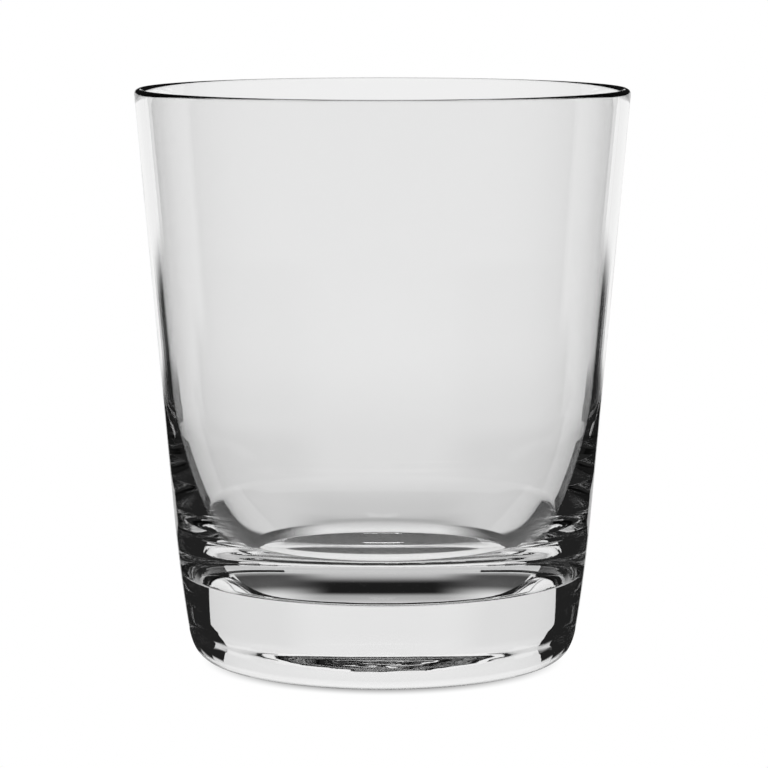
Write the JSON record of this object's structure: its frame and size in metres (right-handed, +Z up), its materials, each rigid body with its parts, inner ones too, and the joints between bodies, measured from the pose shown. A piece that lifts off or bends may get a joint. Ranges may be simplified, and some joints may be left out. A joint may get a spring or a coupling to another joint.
{
  "type": "whiskey tumbler",
  "caption": "Flared round whiskey tumbler in clear glass with a thin fire-polished rim, a bowl that rounds in to a small floor, and a heavy solid base.",
  "frame": {"origin": "centre of the resting face under the base", "axes": "+Z up along the glass's axis of revolution, from the base to the open rim"},
  "size_m": [0.0878, 0.0878, 0.102],
  "materials": {
    "clear_glass": "clear, fire-polished, smooth all over"
  },
  "bodies": {
    "root": {"glass_body": "clear_glass"}
  },
  "joints": []
}
